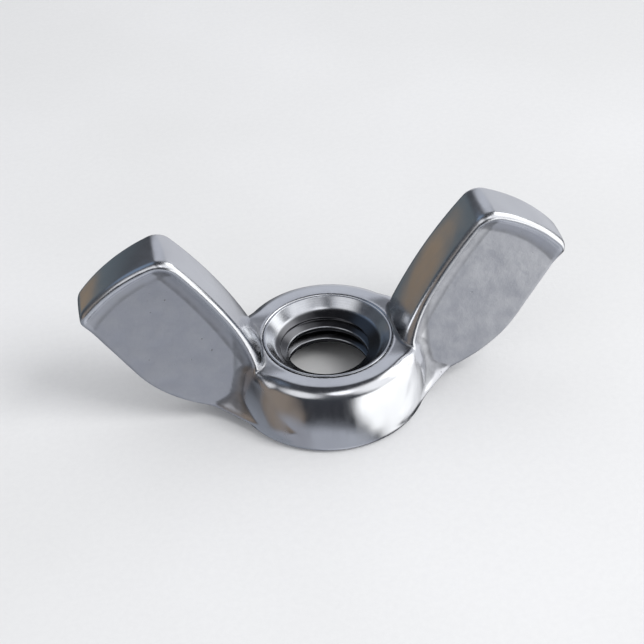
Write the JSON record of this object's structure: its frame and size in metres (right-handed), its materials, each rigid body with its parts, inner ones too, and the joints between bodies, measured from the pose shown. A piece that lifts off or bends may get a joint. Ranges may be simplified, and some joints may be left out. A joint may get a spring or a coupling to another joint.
{
  "type": "wing nut",
  "caption": "Low conical hub with a coarse threaded bore and a pair of broad raised wings with sunken panels, turned by hand on a stud.",
  "frame": {"origin": "centre of the round bearing face under the hub, on the thread axis", "axes": "+Z along the thread axis, out of the mouth between the wings; X through both wings; Y across the wings' thickness"},
  "size_m": [0.039, 0.0162, 0.0168],
  "materials": {
    "plated_casting": "bright nickel-chrome plating, polished on the hub and edges, satin on the wing panels",
    "plated_steel": "turned steel with bright plating"
  },
  "bodies": {
    "root": {"wing_body": "plated_casting", "thread_insert": "plated_steel"}
  },
  "joints": []
}
